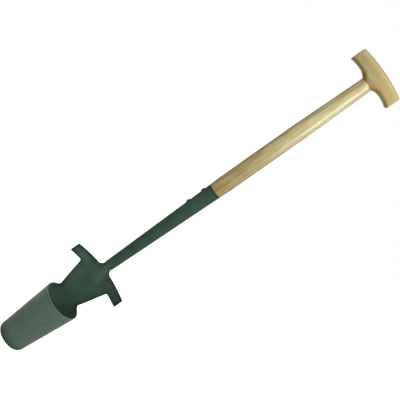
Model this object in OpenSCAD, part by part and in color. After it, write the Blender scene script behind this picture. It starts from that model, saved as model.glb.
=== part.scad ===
// Long-handled bulb planter: a pressed steel cutter with foot treads, on a wooden shaft with a T grip.
// The tool stands upright. The origin is the centre of the cutting edge, and its front looks along -Y.

/* [Cutter] */
// Outside diameter at the cutting edge, before the bevel
cut_d = 72.5; // [60:0.5:84]
// Outside diameter at the rim
rim_d = 95; // [88:0.5:110]
// Height from the cutting edge to the rim
cutter_h = 150; // [120:1:180]
// Thickness of the pressed steel sheet
sheet_t = 2; // [1.6:0.1:2.5]
// Height of the bevel ground on the cutting edge
edge_h = 4; // [2:0.5:8]
// Thickness left at the cutting edge
edge_t = 0.8; // [0.4:0.1:1.4]

/* [Back plate and treads] */
// Height of the treads' top edge above the rim, at the middle
tread_rise = 100; // [80:0.5:120]
// Height of a tread where it leaves the plate
tread_h = 25.5; // [18:0.5:30]
// Height of a tread at its end
tread_tip_h = 23.5; // [16:0.5:26]
// Width over both treads
tread_span = 158; // [140:1:190]
// Angle by which each tread droops towards its end
tread_droop = 1.7; // [0:0.1:4]
// Radius to which the treads are dished forward
tread_dish_r = 145; // [120:1:200]
// Width of the back plate at the rim
waist_w = 58.5; // [52:0.5:66]
// Width of the back plate under the treads
plate_w = 95; // [84:1:110]
// Fillet between the rim and the plate's side
rim_fillet = 5; // [3:0.5:7]
// Fillet under each tread
tread_fillet = 5; // [3:0.5:10]
// Fillet between each tread and the neck
neck_fillet = 10; // [6:0.5:12]
// Radius of the pressing where the neck's ridge runs into the plate
press_r = 5; // [3:0.5:8]

/* [Neck and socket] */
// Outside diameter of the neck just above the treads
neck_d = 24; // [21:0.5:27]
// Outside diameter of the socket at its rim
socket_d = 35.4; // [31:0.2:36]
// Length from the neck's foot to the socket's rim
neck_l = 294; // [240:1:340]
// Depth of the neck's axis behind the front of the plate
neck_set = 3.8; // [3:0.1:5]
// Width of the open seam at the back of the socket
seam_w = 1.2; // [0.6:0.1:2]
// Height of the open throat behind the neck's foot
throat_h = 75; // [55:1:100]

/* [Rivets] */
// Diameter of a rivet's shank
rivet_d = 5; // [4:0.5:7]
// Diameter of the domed head
rivet_head_d = 12; // [8:0.5:13]
// Height of the domed head
rivet_head_h = 2.6; // [1.5:0.1:3.5]
// Distance from the socket's rim to the upper rivet
rivet_inset = 19; // [14:1:30]
// Distance between the rivets
rivet_pitch = 41; // [30:1:60]

/* [Shaft] */
// Diameter of the shaft's parallel stretch
shaft_d = 37.2; // [36:0.2:42]
// Diameter of the shaft under the grip
shaft_top_d = 30.5; // [28:0.5:31]
// Visible length, from the socket's rim to the grip
shaft_l = 381; // [340:1:520]
// Length of the swell above the socket's rim
swell_l = 30; // [15:1:45]
// Length of the parallel stretch
straight_l = 172; // [100:1:200]
// Length of the tapered end inside the socket
socket_tenon_l = 200; // [120:1:220]
// Chamfer on the shoulder that meets the socket's rim
shoulder_chamfer = 0.9; // [0.4:0.1:1.4]
// Diameter of the tenon inside the grip
grip_tenon_d = 24; // [20:0.5:25]
// Length of the tenon inside the grip
grip_tenon_l = 26; // [20:1:30]

/* [Grip] */
// Length of the grip from end to end
grip_w = 123; // [110:1:150]
// Height of the grip over the shaft
grip_h = 40; // [38:0.5:48]
// Thickness of the grip, front to back
grip_t = 34; // [34:0.5:38]
// Fall of the arched top from the middle to the ends
grip_arch = 5; // [2:0.5:8]
// Depth of the hollow on the underside, above the shoulder on the shaft
grip_hollow = 6.5; // [3:0.5:8]
// Distance from the middle of the grip to the deepest hollow
grip_hollow_x = 35; // [28:0.5:42]
// Fall of the underside from the deepest hollow to the ends
grip_tip_drop = 4; // [1:0.5:5]
// Rounding along the grip's long edges
grip_round = 7; // [4:0.5:9]
// Height over which the grip's faces draw in to the round boss that seats the shaft
grip_boss_h = 9; // [7:0.5:11]
// Rounding around the grip's two ends
grip_end_round = 2.5; // [1:0.5:4]
// Diameter of the pin through the grip and the tenon
pin_d = 4; // [3:0.5:5]
// Wood of the tenon left in front of the pin's point
pin_stop = 4; // [2:0.5:8]

/* [Fits] */
// Gap around each glued, riveted or pinned fit
fit_gap = 0.1; // [0.05:0.05:0.2]

/* [Hidden] */
$fn = 96;

steel_green = "#2f4a3c";
ash = "#c9b27c";
rivet_steel = "#26332c";
pin_steel = "#8a8d8f";

// How far the plate's tongue lies inside the walls that it joins
lap = 0.15;
// Extra length of every cutting shape
over = 5;

// Heights along the tool; the neck's foot lies a short way above its fillets, and the rolled neck starts a
// little below the treads' top edge, inside the pressed ridge
foot_clear = 3;
roll_start = 3;
tread_top_z = cutter_h + tread_rise;
roll_z = tread_top_z - roll_start;
tread_low_z = tread_top_z - tread_h;
neck_foot_z = tread_top_z + neck_fillet + foot_clear;
socket_z = neck_foot_z + neck_l;
grip_z = socket_z + shaft_l;

// The cutter is a plain cone, and the plate's middle line goes on along its back
function outer_r(z) = cut_d/2 + (rim_d - cut_d)/2*z/cutter_h;
function inner_r(z) = outer_r(z) - sheet_t;
shaft_y = inner_r(tread_top_z) + neck_set;
function neck_r(z) = neck_d/2 + (socket_d - neck_d)/2*(z - neck_foot_z)/neck_l;

// Smooth step from 0 to 1, and the smaller of two heights with a rounded corner
function ease(t) = let (c = min(max(t, 0), 1)) c*c*(3 - 2*c);
function soft_min(a, b, k) = let (h = max(k - abs(a - b), 0)/k) min(a, b) - h*h*k/4;

// Pressed form of the sheet, as the depth y of its front face at a point x, z of the front view.
// The plate's cross-section is an arc: the cutter's own at the rim, easing to the treads' wide dish.
// Above the treads it curls back, so that the sheet's edges run round behind the neck.
curl_start = 4;
curl_depth = 8;
curl_z = tread_top_z - curl_start;
curl_l = neck_foot_z - curl_z;
function dish_r(z) =
    let (e = ease((z - cutter_h)/(tread_low_z - cutter_h)))
    1/((1 - e)/inner_r(min(z, cutter_h)) + e/tread_dish_r);
function plate_y(x, z) =
    let (r = dish_r(z), curl = max(z - curl_z, 0)/curl_l)
    inner_r(z) - r + sqrt(max(r*r - x*x, 0)) + curl_depth*curl*curl;

// The neck's front runs down into the plate as a ridge. Below the rolled neck the ridge's arc and the
// pressing beside it widen, and its crest sinks away. Past ridge_angle its round side goes on straight.
ridge_angle = 60;
ridge_sink = 24;
ridge_flare = 140;
press_flare = 20;
function below_roll(z) = max(roll_z - z, 0)/(roll_z - cutter_h);
function ridge_y(x, z) =
    let (
        sunk = pow(below_roll(z), 2),
        r = neck_r(z) - lap + ridge_flare*sunk,
        edge = r*sin(ridge_angle),
        past = max(abs(x) - edge, 0),
        near = min(abs(x), edge),
        crest = shaft_y - neck_r(z) + lap + ridge_sink*sunk
    )
    crest + r - sqrt(r*r - near*near) + past*tan(ridge_angle);
function press(z) = press_r + press_flare*below_roll(z);
function front_y(x, z) = soft_min(plate_y(x, z), ridge_y(x, z), press(z)) + tongue_inset(z);

// Inside the cutter's wall the sheet is thinner by a lap on each side, so that it joins the wall cleanly
tongue_l = 20;
tongue_blend = 8;
function tongue_inset(z) = lap*(1 - ease((z - cutter_h - tongue_blend/2)/tongue_blend));
slope_step = 0.2;
function back_y(x, z) =
    let (
        sx = (front_y(x + slope_step, z) - front_y(x - slope_step, z))/(2*slope_step),
        sz = (front_y(x, z + slope_step) - front_y(x, z - slope_step))/(2*slope_step)
    )
    front_y(x, z) + (sheet_t - 2*tongue_inset(z))*sqrt(1 + sx*sx + sz*sz);

// Grid that carries the pressed form: fine columns over the ridge, wider ones over the plate and treads.
// Every row reaches past the outline that trims it. Rows within wing_lead of the treads have full width.
sheet_low_z = cutter_h - tongue_l;
sheet_rows = 30;
ridge_cols = 9;
wing_cols = 9;
ridge_half = 18;
tongue_margin = 3;
wing_lead = 15;
tongue_half = waist_w/2 + rim_fillet + tongue_margin;
wing_half = tread_span/2 + over;
half_cols = ridge_cols + wing_cols;
function row_z(i) = sheet_low_z + (neck_foot_z - sheet_low_z)*i/sheet_rows;
function row_half(z) =
    let (spread = ease((z - cutter_h - rim_fillet)/(tread_low_z - wing_lead - cutter_h)))
    tongue_half + lap + (wing_half - tongue_half)*spread;
function col_x(j, z) =
    let (k = abs(j))
    sign(j)*(k <= ridge_cols
        ? ridge_half*k/ridge_cols
        : ridge_half + (row_half(z) - ridge_half)*(k - ridge_cols)/wing_cols);

// Closed solid between two grids of the same size, front facing -Y
module grid_solid(front, back) {
    rows = len(front);
    cols = len(front[0]);
    count = rows*cols;
    points = concat([for (r = front) for (p = r) p], [for (r = back) for (p = r) p]);
    function at(i, j) = i*cols + j;
    front_faces = [for (i = [0:rows - 2]) for (j = [0:cols - 2]) each [
        [at(i, j), at(i + 1, j), at(i + 1, j + 1)],
        [at(i, j), at(i + 1, j + 1), at(i, j + 1)]
    ]];
    back_faces = [for (f = front_faces) [count + f[2], count + f[1], count + f[0]]];
    rim = concat(
        [for (j = [0:cols - 2]) at(0, j)],
        [for (i = [0:rows - 2]) at(i, cols - 1)],
        [for (j = [cols - 1:-1:1]) at(rows - 1, j)],
        [for (i = [rows - 1:-1:1]) at(i, 0)]
    );
    n = len(rim);
    side_faces = [for (k = [0:n - 1]) each [
        [rim[k], rim[(k + 1) % n], count + rim[(k + 1) % n]],
        [rim[k], count + rim[(k + 1) % n], count + rim[k]]
    ]];
    polyhedron(points, concat(front_faces, back_faces, side_faces), convexity = 10);
}

module pressed_sheet() {
    columns = [-half_cols:half_cols];
    front = [for (i = [0:sheet_rows]) let (z = row_z(i)) [for (j = columns) let (x = col_x(j, z))
        [x, front_y(x, z), z]]];
    back = [for (i = [0:sheet_rows]) let (z = row_z(i)) [for (j = columns) let (x = col_x(j, z))
        [x, back_y(x, z), z]]];
    grid_solid(front, back);
}

// Fills the inner corner between two edges that leave it along the unit vectors a and b
corner_bite = 0.5;
module corner_fillet(corner, a, b, r) {
    half = acos(a*b)/2;
    reach = r/tan(half);
    centre = corner + (a + b)/norm(a + b)*r/sin(half);
    difference() {
        polygon([corner - (a + b)*corner_bite, corner + a*reach, centre, corner + b*reach]);
        translate(centre) circle(r);
    }
}

// Right half of the sheet's outline in the front view, x against z
neck_half = neck_r(neck_foot_z) - lap;
function tread_edge_z(x) = tread_top_z - x*tan(tread_droop);
function unit(v) = v/norm(v);
module half_outline() {
    waist = [waist_w/2, cutter_h];
    armpit = [plate_w/2, tread_edge_z(plate_w/2) - tread_h];
    tip_high = [tread_span/2, tread_edge_z(tread_span/2)];
    tip_low = tip_high - [0, tread_tip_h];
    collar = [neck_half, tread_edge_z(neck_half)];
    polygon([
        [0, sheet_low_z - over],
        [tongue_half, sheet_low_z - over],
        [tongue_half, cutter_h],
        waist,
        armpit,
        tip_low,
        tip_high,
        collar,
        [neck_half, neck_foot_z + over],
        [0, neck_foot_z + over]
    ]);
    corner_fillet(waist, [1, 0], unit(armpit - waist), rim_fillet);
    corner_fillet(armpit, unit(waist - armpit), unit(tip_low - armpit), tread_fillet);
    corner_fillet(collar, unit(tip_high - collar), [0, 1], neck_fillet);
}

module plate_and_treads() {
    intersection() {
        pressed_sheet();
        translate([0, shaft_y + rim_d, 0]) rotate([90, 0, 0]) linear_extrude(2*rim_d + shaft_y) {
            half_outline();
            mirror([1, 0]) half_outline();
        }
    }
}

module cutter() {
    rotate_extrude() polygon([
        [inner_r(0), 0],
        [inner_r(0) + edge_t, 0],
        [outer_r(edge_h), edge_h],
        [outer_r(cutter_h), cutter_h],
        [inner_r(cutter_h), cutter_h]
    ]);
}

// Rolled neck and socket, open behind in a throat that closes to a narrow seam
module neck_and_socket() {
    throat_y = shaft_y - neck_set + sheet_t;
    difference() {
        translate([0, shaft_y, 0]) rotate_extrude() polygon([
            [neck_r(roll_z) - sheet_t, roll_z],
            [neck_r(roll_z), roll_z],
            [neck_r(socket_z), socket_z],
            [neck_r(socket_z) - sheet_t, socket_z]
        ]);
        translate([0, throat_y + socket_d, 0]) rotate([90, 0, 0]) linear_extrude(socket_d) polygon([
            [-neck_d/2, roll_z - over],
            [neck_d/2, roll_z - over],
            [neck_d/2, roll_z],
            [seam_w/2, roll_z + throat_h],
            [seam_w/2, socket_z + over],
            [-seam_w/2, socket_z + over],
            [-seam_w/2, roll_z + throat_h],
            [-neck_d/2, roll_z]
        ]);
    }
}

// Rivets pass through the socket and the shaft from left to right
upper_rivet_z = socket_z - rivet_inset;
lower_rivet_z = upper_rivet_z - rivet_pitch;
module rivet_holes() {
    for (z = [lower_rivet_z, upper_rivet_z])
        translate([-socket_d, shaft_y, z]) rotate([0, 90, 0])
            cylinder(d = rivet_d + 2*fit_gap, h = 2*socket_d);
}

module planter_head() {
    color(steel_green) difference() {
        union() {
            cutter();
            plate_and_treads();
            neck_and_socket();
        }
        rivet_holes();
    }
}

// Rivet whose domed head beds on the socket's round left side; its other end is closed flush on the right
dome_r = (pow(rivet_head_d/2, 2) + pow(rivet_head_h, 2))/(2*rivet_head_h);
head_bed = 1.5;
module rivet(z) {
    seat = neck_r(z);
    color(rivet_steel) {
        translate([seat, shaft_y, z]) rotate([0, -90, 0]) cylinder(d = rivet_d, h = 2*seat + head_bed);
        difference() {
            translate([-seat, shaft_y, z]) rotate([0, -90, 0]) intersection() {
                translate([0, 0, rivet_head_h - dome_r]) sphere(dome_r);
                translate([0, 0, -head_bed]) cylinder(d = rivet_head_d, h = head_bed + rivet_head_h + over);
            }
            translate([0, shaft_y, z - rivet_head_d]) cylinder(
                r1 = neck_r(z - rivet_head_d) + fit_gap,
                r2 = neck_r(z + rivet_head_d) + fit_gap,
                h = 2*rivet_head_d
            );
        }
    }
}
module lower_rivet() { rivet(lower_rivet_z); }
module upper_rivet() { rivet(upper_rivet_z); }

// The shaft is turned to one profile: tapered tenon, shoulder, swell, parallel stretch, taper, grip tenon
swell_steps = 6;
module shaft() {
    foot_z = socket_z - socket_tenon_l;
    straight_z = socket_z + swell_l;
    shoulder_r = socket_d/2;
    profile = concat(
        [
            [0, foot_z],
            [neck_r(foot_z) - sheet_t - fit_gap, foot_z],
            [neck_r(socket_z) - sheet_t - fit_gap, socket_z],
            [shoulder_r - shoulder_chamfer, socket_z]
        ],
        [for (i = [0:swell_steps]) let (t = i/swell_steps) [
            shoulder_r + (shaft_d/2 - shoulder_r)*sin(90*t),
            socket_z + shoulder_chamfer + (swell_l - shoulder_chamfer)*t
        ]],
        [
            [shaft_d/2, straight_z + straight_l],
            [shaft_top_d/2, grip_z],
            [grip_tenon_d/2, grip_z],
            [grip_tenon_d/2, grip_z + grip_tenon_l],
            [0, grip_z + grip_tenon_l]
        ]
    );
    color(ash) difference() {
        translate([0, shaft_y, 0]) rotate_extrude() polygon(profile);
        rivet_holes();
        pin_hole();
    }
}

// Pin driven from behind, through the grip's back wall and most of the tenon
pin_z = grip_z + grip_tenon_l/2;
pin_tip = grip_tenon_d/2 - pin_stop;
module pin_hole() {
    translate([0, shaft_y - pin_tip - fit_gap, pin_z]) rotate([-90, 0, 0])
        cylinder(d = pin_d + 2*fit_gap, h = pin_tip + grip_t);
}
module grip_pin() {
    color(pin_steel) translate([0, shaft_y - pin_tip, pin_z]) rotate([-90, 0, 0])
        cylinder(d = pin_d, h = pin_tip + grip_t/2);
}

// Grip lofted from end to end: a rounded oblong at each station, between arched top and hollowed underside.
// The stations gather a little towards the ends. Over the shaft the underside is a round, flat boss, and
// its lower corners are quarter ellipses that reach from the boss out to the faces.
grip_stations = 48;
end_gather = 0.25;
corner_points = 5;
seat_half = shaft_top_d/2;
boss_least = 1.5;
function grip_top(x) = grip_z + grip_h - grip_arch*pow(2*x/grip_w, 2);
function grip_under(x) =
    let (a = max(abs(x), seat_half), off = a - grip_hollow_x)
    grip_z + grip_hollow - (off < 0
        ? grip_hollow*pow(off/(grip_hollow_x - seat_half), 2)
        : grip_tip_drop*pow(off/(grip_w/2 - grip_hollow_x), 2));
function past_boss(x) = ease((abs(x) - seat_half)/(grip_hollow_x - seat_half));
function flat_half(x) =
    let (boss = sqrt(max(seat_half*seat_half - x*x, boss_least*boss_least)))
    boss + (grip_t/2 - grip_round - boss)*past_boss(x);
function low_rise(x) = grip_boss_h + (grip_round - grip_boss_h)*past_boss(x);
function station_x(i) =
    let (even = 2*i/grip_stations - 1, gathered = -cos(180*i/grip_stations))
    grip_w/2*(even + end_gather*(gathered - even));
function end_inset(x) =
    let (near = max(abs(x) - (grip_w/2 - grip_end_round), 0))
    grip_end_round - sqrt(max(pow(grip_end_round, 2) - near*near, 0));
function grip_section(x) =
    let (
        inset = end_inset(x),
        half_t = grip_t/2 - inset,
        low = grip_under(x) + inset,
        high = grip_top(x) - inset,
        low_y = grip_t/2 - flat_half(x) - inset/2,
        low_z = low_rise(x) - inset/2,
        r_high = grip_round - inset/2,
        corners = [
            [half_t - low_y, low + low_z, low_y, low_z, -90],
            [half_t - r_high, high - r_high, r_high, r_high, 0],
            [r_high - half_t, high - r_high, r_high, r_high, 90],
            [low_y - half_t, low + low_z, low_y, low_z, 180]
        ]
    )
    [for (c = corners) for (k = [0:corner_points]) let (a = c[4] + 90*k/corner_points)
        [x, shaft_y + c[0] + c[2]*cos(a), c[1] + c[3]*sin(a)]];

// Closed solid through a row of sections that have the same number of points
module loft(sections) {
    n = len(sections[0]);
    last = len(sections) - 1;
    sides = [for (i = [0:last - 1]) for (k = [0:n - 1]) let (m = (k + 1) % n) each [
        [i*n + k, (i + 1)*n + k, (i + 1)*n + m],
        [i*n + k, (i + 1)*n + m, i*n + m]
    ]];
    low_cap = [for (k = [0:n - 1]) k];
    high_cap = [for (k = [n - 1:-1:0]) last*n + k];
    polyhedron([for (s = sections) for (p = s) p], concat(sides, [low_cap, high_cap]), convexity = 4);
}

module grip() {
    color(ash) difference() {
        loft([for (i = [0:grip_stations]) grip_section(station_x(i))]);
        translate([0, shaft_y, grip_z - over])
            cylinder(d = grip_tenon_d + 2*fit_gap, h = over + grip_tenon_l + fit_gap);
        pin_hole();
    }
}

planter_head();
lower_rivet();
upper_rivet();
shaft();
grip();
grip_pin();
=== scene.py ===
"""Looks of a long-handled bulb planter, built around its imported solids. Sizes are in millimetres."""

import math

import bmesh
import bpy
import numpy as np
from mathutils import Matrix, Vector


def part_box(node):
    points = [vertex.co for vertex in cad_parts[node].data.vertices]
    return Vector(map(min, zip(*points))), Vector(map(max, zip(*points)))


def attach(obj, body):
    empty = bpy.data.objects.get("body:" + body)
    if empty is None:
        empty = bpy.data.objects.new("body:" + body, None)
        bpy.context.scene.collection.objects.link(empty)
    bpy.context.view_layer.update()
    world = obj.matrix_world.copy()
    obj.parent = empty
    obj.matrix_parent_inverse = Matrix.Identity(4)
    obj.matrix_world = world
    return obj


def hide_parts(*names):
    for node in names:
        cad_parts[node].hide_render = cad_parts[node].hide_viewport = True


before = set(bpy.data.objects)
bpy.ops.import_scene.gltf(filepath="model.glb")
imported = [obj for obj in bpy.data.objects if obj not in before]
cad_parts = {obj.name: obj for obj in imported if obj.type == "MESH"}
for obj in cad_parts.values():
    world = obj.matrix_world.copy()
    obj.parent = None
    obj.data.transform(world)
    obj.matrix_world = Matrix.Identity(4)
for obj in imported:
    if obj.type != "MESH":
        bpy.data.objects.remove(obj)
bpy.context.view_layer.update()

# Camera
# It stands in front of the tool, a little to the left and above the middle, rolled so that the tool lies
# along the picture's diagonal. The picture is 400 by 400 pixels.
MM = 0.001
picture_px = 400
focal_px = 620.6
camera_at = Vector((-107.3, -1251.8, 786.6)) * MM
camera_aim = Vector((-2.8, 56.7, 518.6)) * MM
camera_roll = math.radians(54.9)

camera_data = bpy.data.cameras.new("camera")
camera_data.lens = focal_px / picture_px * camera_data.sensor_width
camera = bpy.data.objects.new("camera", camera_data)
bpy.context.scene.collection.objects.link(camera)
facing = (camera_aim - camera_at).to_track_quat("-Z", "Y").to_matrix().to_4x4()
camera.matrix_world = Matrix.Translation(camera_at) @ facing @ Matrix.Rotation(camera_roll, 4, "Z")
bpy.context.scene.camera = camera
bpy.context.scene.view_settings.view_transform = "Standard"

# Studio
# White paper under the tool in a white room. A wide soft box hangs high in front and a smaller one stands on
# the tool's right. Reflections also show a dark card behind the tool on the left, and dark flags just outside
# the picture, which draw the tool's edges. The paper glows a little of its own, so that it stays white.
paper_grain = 90
paper_half = 40000
paper_tone = 0.28, 0.32
paper_glow = 0.86
wall_light = 1.0
ceiling_light = 0.8
light_from_below = 0.3
card_light = 0.15
flag_light = 0.3

# Heights in the room, from 0 straight below to 1 straight above: the walls' light grows between the first
# two, and goes over into the ceiling's between the last two
wall_foot, wall_start, wall_end, ceiling_start = 0.38, 0.47, 0.66, 0.75

# Direction of the card's middle, and the cosines of the angles from it where the card begins and is full
dark_card = (-0.707, 0.707, 0.0)
card_edge, card_full = 0.85, 0.97

# Cosines of the angles from the line of sight: outer edge of the flags, the full dark between, inner edge
flag_outer, flag_full_outer, flag_full_inner, flag_inner = 0.35, 0.5, 0.78, 0.9


def add_node(tree, kind, inputs=None, **settings):
    """A shader node with its settings. Each input is a constant, or another node's output to link from."""
    node = tree.nodes.new(kind)
    for name, value in settings.items():
        setattr(node, name, value)
    for socket, value in (inputs or {}).items():
        if isinstance(value, bpy.types.NodeSocket):
            tree.links.new(value, node.inputs[socket])
        else:
            node.inputs[socket].default_value = value
    return node


def start_material(name):
    """An empty node material, and its node tree."""
    material = bpy.data.materials.new(name)
    material.use_nodes = True
    material.node_tree.nodes.clear()
    return material, material.node_tree


def per(size):
    """Texture scale whose pattern repeats about every size millimetres."""
    return 1 / (size * MM)


def put_mesh(name, points, faces, material):
    """A smooth object from points in millimetres and faces, with one material."""
    mesh = bpy.data.meshes.new(name)
    mesh.from_pydata((points * MM).tolist(), [], faces.tolist())
    mesh.shade_smooth()
    mesh.materials.append(material)
    piece = bpy.data.objects.new(name, mesh)
    bpy.context.scene.collection.objects.link(piece)
    return piece


def white_paper():
    """Seamless studio paper: matt, faintly cloudy, with a glow that stands for light from all round."""
    material, tree = start_material("white_paper")
    place = add_node(tree, "ShaderNodeTexCoord").outputs["Object"]
    cloud = add_node(tree, "ShaderNodeTexNoise", {"Vector": place, "Scale": per(paper_grain)})
    tone = add_node(tree, "ShaderNodeMapRange", {
        "Value": cloud.outputs[0],
        "To Min": paper_tone[0],
        "To Max": paper_tone[1],
    })
    surface = add_node(tree, "ShaderNodeBsdfPrincipled", {
        "Base Color": tone.outputs[0],
        "Roughness": 0.9,
        "Emission Color": (1.0, 1.0, 1.0, 1.0),
        "Emission Strength": paper_glow,
    })
    add_node(tree, "ShaderNodeOutputMaterial", {"Surface": surface.outputs[0]})
    return material


def soft_box(name, at, aim, wide, tall, power):
    """An oblong area lamp that faces a point."""
    lamp_data = bpy.data.lights.new(name, "AREA")
    lamp_data.shape = "RECTANGLE"
    lamp_data.size = wide * MM
    lamp_data.size_y = tall * MM
    lamp_data.energy = power
    lamp = bpy.data.objects.new(name, lamp_data)
    bpy.context.scene.collection.objects.link(lamp)
    at = Vector(at) * MM
    turn = (Vector(aim) * MM - at).to_track_quat("-Z", "Y").to_matrix().to_4x4()
    lamp.matrix_world = Matrix.Translation(at) @ turn


paper_corners = paper_half * np.array([[-1.0, -1, 0], [1, -1, 0], [1, 1, 0], [-1, 1, 0]])
floor = put_mesh("floor", paper_corners, np.array([[0, 1, 2, 3]]), white_paper())
floor.visible_diffuse = False
floor.visible_glossy = False
floor.visible_shadow = False

# The camera sees the room plain white, matt surfaces are lit by its bands of light, and shiny ones mirror the
# bands with the card and the flags
room = bpy.data.worlds.new("white_room")
room.use_nodes = True
room_tree = room.node_tree
room_tree.nodes.clear()
direction = add_node(room_tree, "ShaderNodeTexCoord").outputs["Generated"]
upward = add_node(room_tree, "ShaderNodeSeparateXYZ", {0: direction}).outputs["Z"]
room_height = add_node(room_tree, "ShaderNodeMapRange", {"Value": upward, "From Min": -1.0}).outputs[0]
brightness = add_node(room_tree, "ShaderNodeValToRGB", {0: room_height})
bands = brightness.color_ramp.elements
bands[0].position = wall_foot
bands[0].color = [light_from_below] * 3 + [1]
bands[1].position = wall_start
bands[1].color = [wall_light] * 3 + [1]
bands.new(wall_end).color = [wall_light] * 3 + [1]
bands.new(ceiling_start).color = [ceiling_light] * 3 + [1]
towards_card = add_node(room_tree, "ShaderNodeVectorMath", {
    0: direction,
    1: dark_card,
}, operation="DOT_PRODUCT").outputs["Value"]
carded = add_node(room_tree, "ShaderNodeMapRange", {
    "Value": towards_card,
    "From Min": card_edge,
    "From Max": card_full,
    "To Min": 1.0,
    "To Max": card_light,
}, interpolation_type="SMOOTHSTEP").outputs[0]
along_sight = add_node(room_tree, "ShaderNodeVectorMath", {
    0: direction,
    1: (camera_aim - camera_at).normalized(),
}, operation="DOT_PRODUCT").outputs["Value"]
flags = add_node(room_tree, "ShaderNodeValToRGB", {0: along_sight})
flag_edges = flags.color_ramp.elements
flag_edges[0].position = flag_outer
flag_edges[0].color = [1.0] * 4
flag_edges[1].position = flag_inner
flag_edges[1].color = [1.0] * 4
flag_edges.new(flag_full_outer).color = [flag_light] * 3 + [1]
flag_edges.new(flag_full_inner).color = [flag_light] * 3 + [1]
flagged = add_node(room_tree, "ShaderNodeVectorMath", {
    0: brightness.outputs[0],
    1: flags.outputs[0],
}, operation="MULTIPLY").outputs[0]
ray = add_node(room_tree, "ShaderNodeLightPath").outputs
seen = add_node(room_tree, "ShaderNodeBackground", {
    "Strength": wall_light,
    "Color": (1.0, 1.0, 1.0, 1.0),
}).outputs[0]
soft = add_node(room_tree, "ShaderNodeBackground", {"Color": brightness.outputs[0]}).outputs[0]
mirrored = add_node(room_tree, "ShaderNodeBackground", {"Color": flagged, "Strength": carded}).outputs[0]
lit = add_node(room_tree, "ShaderNodeMixShader", {
    0: ray["Is Glossy Ray"],
    1: soft,
    2: mirrored,
}).outputs[0]
room_light = add_node(room_tree, "ShaderNodeMixShader", {
    0: ray["Is Camera Ray"],
    1: lit,
    2: seen,
}).outputs[0]
add_node(room_tree, "ShaderNodeOutputWorld", {"Surface": room_light})
bpy.context.scene.world = room

soft_box("front_light", at=(0, -1500, 2000), aim=(0, 50, 450), wide=1400, tall=1400, power=15)
soft_box("side_light", at=(1098, -898, 1040), aim=(0, 50, 900), wide=600, tall=350, power=10)

# Planter head
# One sheet of steel: the cutter is a tapered ring, the back plate and foot treads are pressed in one with it,
# and the neck is rolled round into a tapered socket. The head is powder coated in dark green, satin.
head_low, head_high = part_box("planter_head")
shaft_low, shaft_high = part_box("shaft")
rim_r = -head_low.y / MM
tread_half = head_high.x / MM
socket_z = head_high.z / MM
shaft_y = (shaft_low.y + shaft_high.y) / 2 / MM

# Sheet: thickness and rounding of its edges. The two roundings of the thin cutting edge meet, and the gap
# that they leave there is closed.
sheet_t = 2
sheet_edge_round = 0.45
weld_gap = 0.002

# Cutter: radius at the cutting edge, height of the rim, and height and thickness of the bevelled edge
cut_r = 36.25
cutter_h = 150
edge_h = 4
edge_t = 0.8

# Plate and treads: top of the treads at the middle, their height at the plate and at the tips, their fall to
# the sides and the radius of their dish; half width of the plate at the rim and under the treads; fillets
tread_top_z = 250
tread_h = 25.5
tread_tip_h = 23.5
tread_slope = math.tan(math.radians(1.7))
tread_dish_r = 145
waist_half = 29.25
plate_half = 47.5
rim_fillet = 5
tread_fillet = 5
neck_fillet = 10

# Neck and socket: start of the roll, foot of the round neck, radius there and at the socket's rim, height
# where the open throat has closed to a seam, and half the seam's width
roll_z = 247
neck_foot_z = 263
neck_half = 12
socket_r = 17.7
throat_high_z = 322
seam_half = 0.6

# Pressing: how softly the neck's ridge blends into the plate, and how much softer at the rim; how far the
# plate curls back into the neck; slope of the ridge's sides, and how far it sinks and widens at the rim
press_r = 5
press_flare = 20
curl_start_z = 246
curl_depth = 8
ridge_angle = math.radians(60)
ridge_sink = 24
ridge_flare = 140

# Colours of the coat: fresh, scuffed, a paler grey for painted sheen, painted shade along the edges, and a
# painted highlight on the front rim
coat_green = "#1c3626"
coat_green_light = "#294836"
coat_scuffed = "#4c5c51"
coat_scuffed_green = "#405e4a"
coat_painted_sheen = "#66716a"
coat_edge_shade = "#0c130f"
coat_rim_highlight = "#657068"

# Painted shade along the sheet's edges: full up to the core distance from an edge and gone from the edge
# width on, with a fainter painted shade that fades out over the fade width
coat_edge_w, coat_edge_core = 4.5, 0.8
coat_fade_w = 16
coat_fade = 0.32

# Shine of the coat away from the edges and under their painted shade, range of roughness, and the dust's
# sheen on scuffed places
coat_shine, coat_edge_shine = 0.5, 0.1
coat_roughness = 0.46, 0.58
coat_dust = 0.16

# Patterns: size of the patches, with their place in a noise of four dimensions; size and depth of the
# dimples; size of the grit and how far it changes the tone. Real grit is finer: it is drawn this coarse so
# that it shows.
coat_mottle = 35
coat_cloud = 2.8
coat_peel = 1.1
coat_peel_depth = 0.05
coat_grit = 4.5
coat_grit_depth = 0.15

# Most values of a noise texture lie between these two
noise_low, noise_high = 0.3, 0.7

# Wear of the coat, as shares from 0, fresh, to 1, worn. Inside the cutter it grows from the first height down
# to the second; there it is partly painted light, which lifts the shade deep in the cutter. The plate's back
# is scuffed most at the rim.
scuff_and_light_inside_z = 145, 115
scuff_and_light_inside = 0.1, 0.58
scuff_plate_back = 0.8

# Soft lighter spots on the plate's front: middle x and z, half width and half height, share at the middle.
# The first two are painted highlights, by the left tread's root and on the ridge's right flank; the third
# is a faint scuff on the plate's middle. The depth is far more than the plate's, so that only width and
# height count.
highlight_and_rub_spots = (
    ((-52, 234), (26, 17), 0.42),
    ((3, 240), (22, 42), 0.4),
    ((-2, 178), (34, 50), 0.16),
)
spot_depth = 1000

# The cutter's outside takes less of the scuffed tone, and so is darker, from the first height down to the
# second
darker_foot_z = 28, 4
darker_foot = 0.5

# A paler grey painted as sheen on scuffed places grows up to the rim, and round to the cutter's left
# between two places across
painted_sheen_rim_z = 60, cutter_h
painted_sheen_rim = 0.14
painted_sheen_left_x = -30, -50

# Painted shadow below the socket's rim
socket_rim_shade_w = 7
socket_rim_shade = 0.6

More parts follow.
